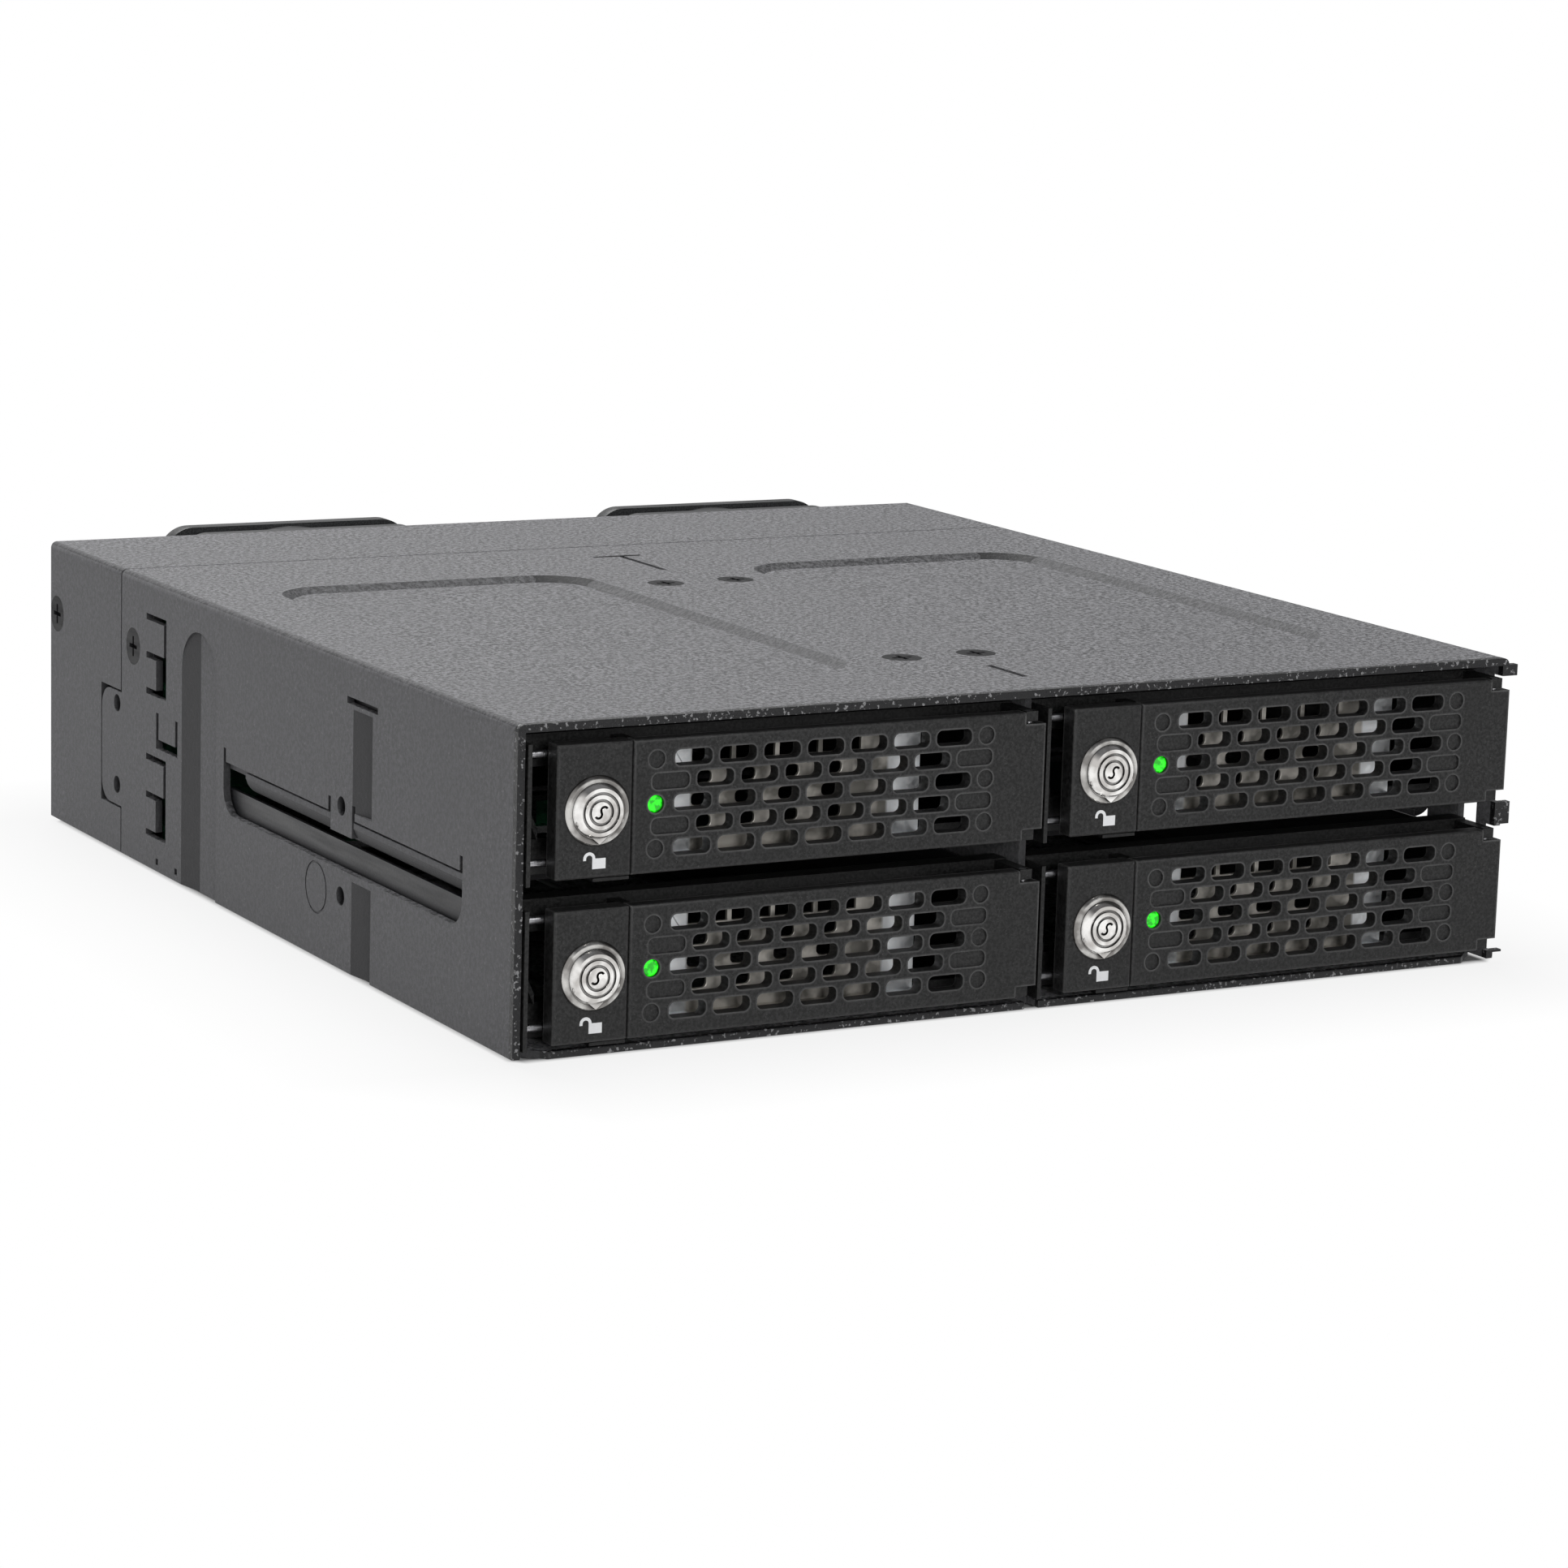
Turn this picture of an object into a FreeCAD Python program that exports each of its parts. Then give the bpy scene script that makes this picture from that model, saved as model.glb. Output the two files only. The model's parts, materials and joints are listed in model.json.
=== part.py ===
import FreeCAD, Part
import os
from math import radians, sqrt, tan

# Hot swap drive cage for one 5.25 inch bay: four 2.5 inch trays in two columns.
# Built with X to the right, Y from the front edge of the side walls to the rear, Z up.
# save() then moves everything forward, so that the origin is under the middle of the cage.

# cage
cageWidth = 146.0
cageHeight = 41.3
shellDepth = 128.9            # side walls and top, front edge to the seam
cageDepth = 157.5             # front edge to the rear face that carries the fans
wall = 1.0                    # sheet of the shell and the rear cover
wallBottom = 0.4              # the side walls stop just above the table
seam = 0.3                    # gap between the shell, the rear cover and the base
edgeRound = 0.9
flapReach = 7.7               # how far a side flap of the shell reaches over the rear cover
flapBottom = 7.1
flapRise = 3.0                # top of a flap above the window
flapRound = 3.0

# base plate
baseThickness = 1.0
baseReach = 8.6               # base behind the seam of the shell
baseSetback = 0.2
baseCorner = 4.0
baseNotch = 2.0
baseNotchDepth = 2.8
baseSlotCount = 6
baseSlotWidth = 3.0
baseSlotLength = 16.0
baseSlotPitch = 7.0
baseSlotYs = (30.0, 82.0)

# pressed panels in the top
pocketInner = 13.0
pocketEdge = 12.0             # from the side of the cage
pocketFront = 21.1
pocketRearGap = 22.9
pocketRound = 8.0
pocketSlope = 1.6
pocketDepth = 0.8
slitWidth = 0.9

# stamped features of a side wall, with y from the front edge
line = 0.9                    # width of a stamped slot
windowFront = 14.8
windowRear = 90.9
windowTall = 7.1
windowRound = 3.4
tickTall = 1.9
tickWidth = 0.8
tabHalf = 3.4                 # sheet kept around the threaded hole in the window
tabDrop = 2.4
springReach = 7.0             # stamped springs near the rear, from the seam forward
springFront = 16.5
springUpperDrops = (5.2, 10.6, 15.7)
springLowerZs = (16.2, 10.8, 5.4)
springThick = 3.3
tongueFront = 20.8
tongueRear = 13.7
tongueRise = 2.4              # above the top of the window
tongueDrop = 2.7
tongueBar = 1.4
channelFront = 35.3           # pressed channel, from the seam forward
channelRear = 22.8
channelRamp = 5.5
channelDrop = 4.6
channelDepth = 0.6
rampFront = 41.9              # pressed ramps above and below the window
rampRear = 47.9
rampDepth = 0.7
rampDrop = 6.3                # upper ramp below the top of the cage
rampRise = 1.0
rampLowerTop = 12.6
crossSlotFront = 40.4
crossSlotRear = 49.9
crossSlotDrop = 5.3
ringAcross = 59.3             # shallow round mark below the window
ringUp = 9.6
ringR = 3.5
ringWidth = 0.3
ringDepth = 0.15
earReach = 1.4                # front stop ears of the right wall
earUpperDrops = (3.0, 0.9)
earMiddleTall = 3.3
earLowerZs = (1.2, 3.0)
wallRelief = 3.0              # walls are set back where the end of a door swings
reliefGap = 0.4

# screw holes for 2.5 inch drives, measured from the connector end
driveHoleRear = 14.0
driveHoleFront = 90.6
driveHoleInset = 4.89         # from the walls of the column, 61.72 apart
driveHoleR = 1.6

# trays
sideGap = 0.25                # from a tray to the wall beside it
trayLift = 0.3                # lower tray above the base plate
trayGap = 3.0                 # between the trays
trayTopGap = 1.4
sledSide = 0.5
sledFloor = 0.6
sledFront = 9.0
sledSideDrop = 1.9            # sides of the sled below the top of the bezel
sledRearGap = 4.0             # rear of the sled to the board
driveRearGap = 5.5
ventSide = 12.0
ventGap = 14.0
frontProud = 1.0              # door and lock panel stand this far in front of the cage

# front of a tray, measured from the inner face of the wall on its left
postWidth = 0.55
gapRight = 3.8                # open strip beside the lock panel
lockRight = 13.9
doorLeft = 14.0
doorOverhang = 0.5            # the door covers the edge of the wall on its right
frontBottom = 0.6             # door and lock panel above the underside of the tray
frontTopGap = 0.2
doorThickness = 2.0
doorRound = 0.35
frameFront = 6.0              # the bezel's frame behind the door
lockThickness = 2.6
windowMargin = 3.0
windowLow = 2.2
windowHigh = 1.8
pocketLow = 4.4
pocketHigh = 4.0
ribLow = 4.6
ribHigh = 13.8
ribWidth = 1.4
ribFront = 4.2

# ventilation slots in the door
slotWidth = 5.1
slotTall = 2.0
slotPitch = 6.1
slotRowPitch = 2.75
slotShift = 2.6               # middle of the slots, left of the middle of the door
slotRise = 0.25
slotSpare = 13.0              # width of the door that the long rows leave free
slotRound = 0.8
blindHoleR = 1.1
blindDepth = 0.3
blindLeftGap = 5.0            # last open slot of a long row to the round blind hole
blindRightGap = 4.7
lensGap = 0.02
lensSunk = 0.35
lensRound = 0.25

# hinge of a door
hingeInset = 1.7
hingeBack = 0.4
barrelR = 1.4
pinR = 0.5
runningGap = 0.05
notchInset = 1.2              # notches of the door, left of the hinge
notchTall = 1.5
earInset = 0.8                # ears of the bezel, left of the hinge
earFront = -0.3
earGap = 0.2

# lock
lockAcross = 9.15
lockBaseR = 4.4
lockShoulderR = 4.05
lockBaseTall = 0.5
shankR = 2.7
shankGap = 0.02
shankRear = 0.6
plugR = 1.8
capR = 3.5
capTopR = 2.95
capTall = 0.7
tipRise = 1.0
tipDrop = 3.95
tipTall = 0.35
grooveRs = (1.65, 2.5)
grooveWidth = 0.35
grooveDepth = 0.2
keywayR = 0.6
keywayWidth = 0.3
keywayDepth = 0.5
keywayTurn = 60.0             # degrees that the wave leans
camHalf = 1.1
camLength = 3.4
camThickness = 0.6

# guide rods of a lock panel
rodR = 0.5
rodBack = 2.6
rodInset = 1.6                # from the lower and upper edge of the panel
rodRight = 15.0
rodLeftGap = 0.1
bossFront = 1.6
bossHalf = 1.1
lugLeft = 5.0
lugRight = 12.5
lugRise = 1.0
lugRear = 3.6

# perforated plate behind a door
plateLeftReach = 18.5         # from the middle of the slots
plateRightReach = 17.3
plateThickness = 0.5
plateLow = 0.5
plateHigh = 1.5
plateFlange = 3.0
plateStripLeft = 2.8
plateStripRight = 4.5
plateWeb = 0.6
plateHoleWidth = 3.4
plateHoleTall = 1.5
plateWindowTall = 2.4

# divider and shelves
dividerThickness = 1.0
dividerFront = 3.4
dividerRearGap = 2.0          # to the board
dividerFlange = 9.0
dividerFlangeTall = 0.9
dividerWindowYs = (20.0, 70.0)
dividerWindowLength = 35.0
dividerWindowLow = 4.0
dividerWindowHigh = 13.0
shelfRise = 0.9               # above the lower trays
shelfThickness = 0.8
shelfFront = 12.0
shelfRearGap = 10.0
shelfVentYs = (22.0, 66.0)
shelfVentLength = 34.0
shelfVentEdge = 14.0
ventRound = 4.0
lipReach = 0.9                # rolled lip of a shelf, out into the window of the wall
lipR = 2.9
lipGap = 0.2
lipRearGap = 7.5

# electronics
boardGap = 11.4               # from the seam of the shell forward to the board
boardThickness = 1.6
boardSideGap = 1.4
boardBottom = 2.0
boardTopGap = 1.3
boardVentHalf = 16.5
boardVentLow = 10.0
boardVentHigh = 15.0
boardScrewInset = 3.5
boardScrewLow = 13.0
boardScrewDrop = 10.3
socketWidth = 42.0
socketTall = 6.0
socketDepth = 5.2
socketUp = 2.4
socketWall = 1.4
portWidth = 14.4
portTall = 6.2
portAcross = 8.0
portLow = 5.0
portDrop = 11.3
powerWidth = 24.0
powerUps = (13.4, 21.6)
portDepth = 9.0
portWall = 1.4
portFloor = 2.5
headerWidth = 7.6
headerDepth = 6.0
headerAcross = 24.0
headerLow = 4.0
headerTall = 5.0

# fans, 40 mm square
fanSize = 40.0
fanDepth = 10.5
fanShift = 4.2                # both fans sit right of the middle of their column
fanRise = 0.55
fanRound = 4.5
fanBoreR = 18.6
fanDuctR = 19.6
fanFlange = 2.6
fanHolePitch = 32.0
fanHoleR = 1.7
hubR = 9.4
hubGap = 0.4
hubFront = 1.2
bladeR = 17.9
bladeCount = 7
bladeLean = 38.0
bladeThickness = 0.9
bladeInset = 0.6
spindleR = 1.0
spindleFront = 3.5
strutWidth = 2.0
strutDepth = 1.4
strutTurn = 35.0

# window of the rear cover behind the board, for the cables
cableHalf = 14.0
cableBottom = 5.0
cableTopGap = 5.3
cableRound = 2.0

# screws and threaded holes
mountHoleR = 1.25             # M3 threads in the sides and the base
sideHoleUps = (10.0, 21.84)
mountFirst = 51.4
mountSpacing = 79.25
baseHoleSpacing = 139.7
screwR = 1.3
threadGap = 0.02
screwGap = 0.05
headR = 2.6
headTall = 0.9
headProud = 1.0
screwLength = 5.0
shortScrewLength = 1.9
topScrewAcross = 5.6
topScrewShift = 0.9
topScrewFront = 27.1
topScrewRearGap = 35.3
sideScrewDrop = 10.3
shellScrewInset = 4.4
coverScrewInset = 2.6
bracketUpperDrops = (14.8, 5.3)
bracketLowerZs = (9.0, 17.0)
bracketFlange = 6.0
nutInset = 5.0
nutHalf = 4.0

# worked out from the sizes above
halfWidth = cageWidth / 2
wallInner = halfWidth - wall
shellTop = cageHeight - wall
dividerHalf = dividerThickness / 2
columnWidth = wallInner - dividerHalf
columns = {"left": -wallInner, "right": dividerHalf}
trayHeight = (shellTop - baseThickness - trayLift - trayGap - trayTopGap) / 2
trayBases = {"lower": baseThickness + trayLift, "upper": shellTop - trayTopGap - trayHeight}
frontTop = trayHeight - frontTopGap
frontMiddle = (frontBottom + frontTop) / 2
rodUps = (frontBottom + rodInset, frontTop - rodInset)
doorRight = columnWidth + doorOverhang
hingeAcross = doorRight - hingeInset
notchLeft = hingeAcross - notchInset
earLeft = hingeAcross - earInset
longRowCount = int((doorRight - doorLeft - slotSpare) / slotPitch)
slotCentre = (doorLeft + doorRight) / 2 - slotShift
slotRowCentre = frontMiddle + slotRise
longRowHalf = (longRowCount - 1) / 2 * slotPitch
blindLeft = slotCentre - longRowHalf - blindLeftGap
blindRight = slotCentre + longRowHalf + blindRightGap
boardFront = shellDepth - boardGap
boardRear = boardFront + boardThickness
driveRear = boardFront - driveRearGap
driveHoleYs = (driveRear - driveHoleFront, driveRear - driveHoleRear)
shelfBottom = trayBases["lower"] + trayHeight + shelfRise
shelfTop = shelfBottom + shelfThickness
windowTop = shelfTop + seam
windowBottom = windowTop - windowTall
flapTop = windowTop + flapRise
springUpperZs = [cageHeight - drop for drop in springUpperDrops]
channelTop = cageHeight - channelDrop
crossSlotUp = cageHeight - crossSlotDrop
ramps = ((windowTop + rampRise, cageHeight - rampDrop), (0, rampLowerTop))
earRows = ([cageHeight - drop for drop in earUpperDrops], (windowTop + flapRise / 2 - earMiddleTall,
                                                           windowTop + flapRise / 2), earLowerZs)
baseRear = shellDepth + baseReach
fanUp = cageHeight / 2 + fanRise
columnMiddle = columnWidth / 2 + dividerHalf
fanPlaces = {"left": fanShift - columnMiddle, "right": fanShift + columnMiddle}
mountYs = (mountFirst, mountFirst + mountSpacing)
sideScrewUp = cageHeight - sideScrewDrop
boardScrewUps = (boardScrewLow, cageHeight - boardScrewDrop)
portUps = (portLow, cageHeight - portDrop)
bracketTall = ([cageHeight - drop for drop in bracketUpperDrops], bracketLowerZs)
topScrewYs = (topScrewFront, shellDepth - topScrewRearGap)
coverFront = shellDepth + seam
shellScrewY = shellDepth - shellScrewInset
coverScrewY = cageDepth - coverScrewInset
originY = (cageDepth + fanDepth - frontProud) / 2
past = 1.0                    # how far a cutting tool runs past what it cuts


def box(x0, x1, y0, y1, z0, z1):
    return Part.makeBox(x1 - x0, y1 - y0, z1 - z0, FreeCAD.Vector(x0, y0, z0))


def rod(radius, start, end):
    a = FreeCAD.Vector(*start)
    b = FreeCAD.Vector(*end)
    return Part.makeCylinder(radius, (b - a).Length, a, b - a)


def cone(r0, r1, start, end):
    a = FreeCAD.Vector(*start)
    b = FreeCAD.Vector(*end)
    return Part.makeCone(r0, r1, (b - a).Length, a, b - a)


def prism(points, direction):
    corners = [FreeCAD.Vector(*p) for p in points]
    face = Part.Face(Part.makePolygon(corners + corners[:1]))
    return face.extrude(FreeCAD.Vector(*direction))


def fuse(shapes):
    return shapes[0].fuse(shapes[1:]).removeSplitter()


def moved(shape, x, y, z):
    return shape.translated(FreeCAD.Vector(x, y, z))


def aim(shape, axis, angle, x, y, z):
    turned = shape.copy()
    turned.rotate(FreeCAD.Vector(0, 0, 0), FreeCAD.Vector(*axis), angle)
    return moved(turned, x, y, z)


def mirrored(shape):
    return shape.mirror(FreeCAD.Vector(0, 0, 0), FreeCAD.Vector(1, 0, 0))


def withMirrors(shapes):
    return shapes + [mirrored(shape) for shape in shapes]


def save(name, shapes):
    """Write one node; shapes is a shape or a list of separate solids."""
    if isinstance(shapes, list):
        shapes = Part.makeCompound(shapes)
    moved(shapes, 0, -originY, 0).exportStep("parts/" + name + ".step")


def edgesAlong(shape, axis, keep=lambda x, y, z: True):
    """Straight edges along one axis whose middle passes the test keep(x, y, z)."""
    found = []
    for edge in shape.Edges:
        straight = isinstance(edge.Curve, Part.Line)
        middle = edge.CenterOfMass
        if straight and abs(edge.Curve.Direction[axis]) > 0.999 and keep(middle.x, middle.y, middle.z):
            found.append(edge)
    return found


def frontRims(shape, face):
    """Round edges of a shape that lie in its front face."""
    circles = [edge for edge in shape.Edges if isinstance(edge.Curve, Part.Circle)]
    return [edge for edge in circles if abs(edge.CenterOfMass.y - face) < seam / 10]


def roundedBox(x0, x1, y0, y1, z0, z1, axis, radius):
    """Block with the four edges along one axis round."""
    block = box(x0, x1, y0, y1, z0, z1)
    return block.makeFillet(radius, edgesAlong(block, axis))


def doorSlot(across, up, y0, y1):
    """Slot with round corners, cut from y0 to y1."""
    x0 = across - slotWidth / 2
    z0 = up - slotTall / 2
    return roundedBox(x0, x0 + slotWidth, y0, y1, z0, z0 + slotTall, 1, slotRound)


def slotRows():
    """Centres (across, up) of the open slots in a door, in three long and two short rows."""
    centres = []
    for row in range(-2, 3):
        count = longRowCount - row % 2
        for k in range(count):
            across = slotCentre + (k - (count - 1) / 2) * slotPitch
            centres.append((across, slotRowCentre + row * slotRowPitch))
    return centres


def countersunkScrew(radius, length):
    """Screw along -Z with the top of its head at z = 0, with a cross recess."""
    head = cone(headR, radius, (0, 0, 0), (0, 0, -headTall))
    body = fuse([head, rod(radius, (0, 0, -headTall / 2), (0, 0, -length))])
    arm = headR * 0.55
    half = headR * 0.11
    deep = headTall * 0.7
    return body.cut([box(-arm, arm, -half, half, -deep, past), box(-half, half, -arm, arm, -deep, past)])


# ---- one tray, with x = 0 at the wall on its left and z = 0 at its underside ----

trayLeft = sideGap
trayRight = columnWidth - sideGap
driveMiddle = columnWidth / 2
doorBack = doorThickness - frontProud
lockBack = lockThickness - frontProud


def traySled():
    """Two side rails and an open floor: two strips with the drive screw holes, and three cross bars."""
    railTop = trayHeight - sledSideDrop
    rear = boardFront - sledRearGap
    left = trayLeft + sledSide
    right = trayRight - sledSide
    openLeft = trayLeft + ventSide
    openRight = trayRight - ventSide
    rails = [box(x0, x0 + sledSide, sledFront, rear, 0, railTop) for x0 in (trayLeft, right)]
    holes = []
    for y in driveHoleYs:
        for across in (driveHoleInset, columnWidth - driveHoleInset):
            holes.append(rod(driveHoleR, (across, y, -past), (across, y, sledFloor + past)))
    strips = []
    for x0, x1 in ((left, openLeft), (openRight, right)):
        strips.append(box(x0, x1, sledFront, rear, 0, sledFloor).cut(holes))
    ventLength = (driveHoleYs[1] - driveHoleYs[0] - ventGap) / 2
    middle = driveHoleYs[0] + ventLength
    bars = []
    for y0, y1 in ((sledFront, driveHoleYs[0]), (middle, middle + ventGap), (driveHoleYs[1], rear)):
        bars.append(box(openLeft, openRight, y0, y1, 0, sledFloor))
    return rails + strips + bars


def bezel():
    """Moulded frame at the front of the tray: post, frame, hinge ears and rod bosses."""
    frame = box(trayLeft, trayRight, frameFront, sledFront, 0, trayHeight)
    window = box(doorLeft + windowMargin, earLeft - windowMargin / 2, 0, sledFront + past,
                 windowLow, trayHeight - windowHigh)
    lockPocket = box(gapRight, doorLeft, 0, sledFront + past, pocketLow, trayHeight - pocketHigh)
    post = box(trayLeft, trayLeft + postWidth, earFront, frameFront, 0, trayHeight)
    sill = box(lockAcross, doorLeft, earFront, frameFront, 0, frontBottom - earGap)
    pieces = [frame.cut([window, lockPocket]), post, sill]
    for up in rodUps:
        pieces.append(box(doorLeft + seam, rodRight + past, bossFront, frameFront,
                          up - bossHalf, up + bossHalf))
    earTall = notchTall - earGap
    for z0 in (frontBottom, frontTop - earTall):
        pieces.append(box(earLeft, trayRight, earFront, frameFront, z0, z0 + earTall))
    # stiffening rib that leans across the open strip
    pieces.append(prism([(trayLeft, ribFront, ribHigh - ribWidth), (trayLeft, ribFront, ribHigh),
                         (gapRight, ribFront, ribLow + ribWidth), (gapRight, ribFront, ribLow)],
                        (0, frameFront - ribFront, 0)))
    return fuse(pieces).cut(guideRods() + [hingePin()])


def guideRods():
    rods = []
    for up in rodUps:
        rods.append(rod(rodR, (trayLeft + rodLeftGap, rodBack, up), (rodRight, rodBack, up)))
    return rods


def grillePlate():
    """Bright plate on the bezel's frame: two plain strips, and webs and slots between them."""
    x0 = slotCentre - plateLeftReach
    x1 = slotCentre + plateRightReach
    rear = frameFront
    front = rear - plateThickness
    low = frontBottom + plateLow
    high = frontTop - plateHigh
    sheet = box(x0, x1, front, rear, low, high)
    flange = box(x0, x1, front - plateFlange, front, low, low + plateThickness)
    tools = []
    windowHighest = high - plateWeb
    windowLowest = windowHighest - plateWindowTall
    across = x0 + plateStripLeft
    while across + slotPitch < x1 - plateStripRight:
        holeLeft = across + plateWeb
        holeRight = across + plateHoleWidth
        for left, right in ((holeLeft, holeRight), (holeRight + plateWeb, across + slotPitch)):
            tools.append(box(left, right, front - past, rear + past, windowLowest, windowHighest))
        for row in (-1, 0, 1):
            z0 = slotRowCentre - slotTall + row * slotRowPitch
            tools.append(roundedBox(holeLeft, holeRight, front - past, rear + past, z0, z0 + plateHoleTall, 1,
                                    plateWeb))
        across += slotPitch
    return fuse([sheet, flange]).cut(tools)


def door():
    """Swing door with its slots, blind marks, hinge barrel and the bore of its pin."""
    plate = box(doorLeft, doorRight, -frontProud, doorBack, frontBottom, frontTop)
    barrel = rod(barrelR, (hingeAcross, hingeBack, frontBottom), (hingeAcross, hingeBack, frontTop))
    deep = hingeBack + barrelR + past
    face = -frontProud
    notches = []
    for z0, z1 in ((frontBottom - past, frontBottom + notchTall), (frontTop - notchTall, frontTop + past)):
        notches.append(box(notchLeft, doorRight + past, face - past, deep, z0, z1))
    body = fuse([plate, barrel]).cut(notches)
    edges = edgesAlong(body, 0, lambda x, y, z: abs(y - face) < seam / 10 and x < notchLeft)
    edges += edgesAlong(body, 2, lambda x, y, z: abs(y - face) < seam / 10 and x < doorLeft + seam)
    body = body.makeFillet(doorRound, edges)
    pinTop = frontTop + past
    tools = [rod(pinR + runningGap, (hingeAcross, hingeBack, -past), (hingeAcross, hingeBack, pinTop))]
    for across, up in slotRows():
        tools.append(doorSlot(across, up, face - past, doorBack + past))
    for row in (-2, 0, 2):
        up = slotRowCentre + row * slotRowPitch
        for across in (blindLeft, blindRight):
            lit = row == 0 and across == blindLeft
            radius = blindHoleR + lensGap if lit else blindHoleR
            deep = doorBack + past if lit else face + blindDepth
            tools.append(rod(radius, (across, face - past, up), (across, deep, up)))
    for row in (-1, 1):
        for side in (-1, 1):
            across = slotCentre + side * longRowCount / 2 * slotPitch
            up = slotRowCentre + row * slotRowPitch
            tools.append(doorSlot(across, up, face - past, face + blindDepth))
    return body.cut(tools)


def hingePin():
    return rod(pinR, (hingeAcross, hingeBack, frontBottom), (hingeAcross, hingeBack, frontTop))


def statusLens():
    """Clear lens of the status light, a little below the face of the door."""
    face = lensSunk - frontProud
    lens = rod(blindHoleR, (blindLeft, face, slotRowCentre), (blindLeft, doorBack, slotRowCentre))
    return lens.makeFillet(lensRound, frontRims(lens, face))


def lockPanel():
    """Sliding panel that carries the lock and rides on the two guide rods."""
    plate = box(gapRight, lockRight, -frontProud, lockBack, frontBottom, frontTop)
    edges = edgesAlong(plate, 0, lambda x, y, z: y < 0) + edgesAlong(plate, 2, lambda x, y, z: y < 0)
    pieces = [plate.makeFillet(doorRound, edges)]
    rear = lockBack + past
    tools = [rod(shankR, (lockAcross, -frontProud - past, frontMiddle), (lockAcross, rear, frontMiddle))]
    for up in rodUps:
        pieces.append(box(lugLeft, lugRight, lockBack, lugRear, up - lugRise, up + lugRise))
        tools.append(rod(rodR + runningGap, (0, rodBack, up), (columnWidth, rodBack, up)))
    return fuse(pieces).cut(tools)


def lockRing():
    """Fixed chrome ring of the lock, with its shank through the panel."""
    face = -frontProud
    front = face - lockBaseTall
    back = lockBack + shankRear
    up = frontMiddle
    skirt = cone(lockBaseR, lockShoulderR, (lockAcross, face, up), (lockAcross, front, up))
    shank = rod(shankR - shankGap, (lockAcross, face, up), (lockAcross, back, up))
    bore = rod(plugR + runningGap, (lockAcross, front - past, up), (lockAcross, back + past, up))
    return fuse([skirt, shank]).cut(bore)


def keyBarrel():
    """Turning plug with its cap, pointer, wavy keyway and rear cam."""
    up = frontMiddle
    capBack = -frontProud - lockBaseTall - runningGap
    capFront = capBack - capTall
    rear = lockBack + shankRear + seam
    cap = cone(capR, capTopR, (lockAcross, capBack, up), (lockAcross, capFront, up))
    tip = prism([(lockAcross - capR, capBack, up - tipRise), (lockAcross + capR, capBack, up - tipRise),
                 (lockAcross, capBack, up - tipDrop)], (0, -tipTall, 0))
    tip = tip.common(cone(tipDrop + tipTall, tipDrop, (lockAcross, capBack, up), (lockAcross, capFront, up)))
    tip = tip.common(box(lockAcross - capR + tipTall, lockAcross + capR - tipTall, capFront, capBack,
                         up - tipDrop, up))
    plug = rod(plugR, (lockAcross, capBack, up), (lockAcross, rear, up))
    cam = box(lockAcross - camHalf, lockAcross + camHalf, rear, rear + camThickness,
              up - camLength, up + plugR)
    start = capFront - past

    def ring(radius, width, middle, deep):
        near = (lockAcross, start, middle)
        far = (lockAcross, capFront + deep, middle)
        return rod(radius, near, far).cut(rod(radius - width, near, far))

    tools = [ring(radius, grooveWidth, up, grooveDepth) for radius in grooveRs]
    for side, x0 in ((-1, lockAcross), (1, lockAcross - capR)):
        wave = ring(keywayR, keywayWidth, up + side * (keywayR - keywayWidth / 2), keywayDepth)
        half = wave.common(box(x0, x0 + capR, start, 0, 0, frontTop))
        half.rotate(FreeCAD.Vector(lockAcross, 0, up), FreeCAD.Vector(0, 1, 0), keywayTurn)
        tools.append(half)
    return fuse([cap, tip, plug, cam]).cut(tools)


# ---- the cage ----

boardHalf = wallInner - boardSideGap
coverRear = cageDepth - wall
baseVentLeft = -(baseSlotCount - 1) / 2 * baseSlotPitch


def topPocket(x0, x1, y0, y1):
    """Sunken panel with sloping edges in the top of the shell."""
    wires = []
    for inset, z in ((pocketSlope, cageHeight - pocketDepth), (0, cageHeight)):
        block = roundedBox(x0 + inset, x1 - inset, y0 + inset, y1 - inset, z, z + past,
                           2, pocketRound - inset)
        under = min(block.Faces, key=lambda f: f.CenterOfMass.z)
        wires.append(under.OuterWire)
    return Part.makeLoft(wires, True, True)


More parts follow.
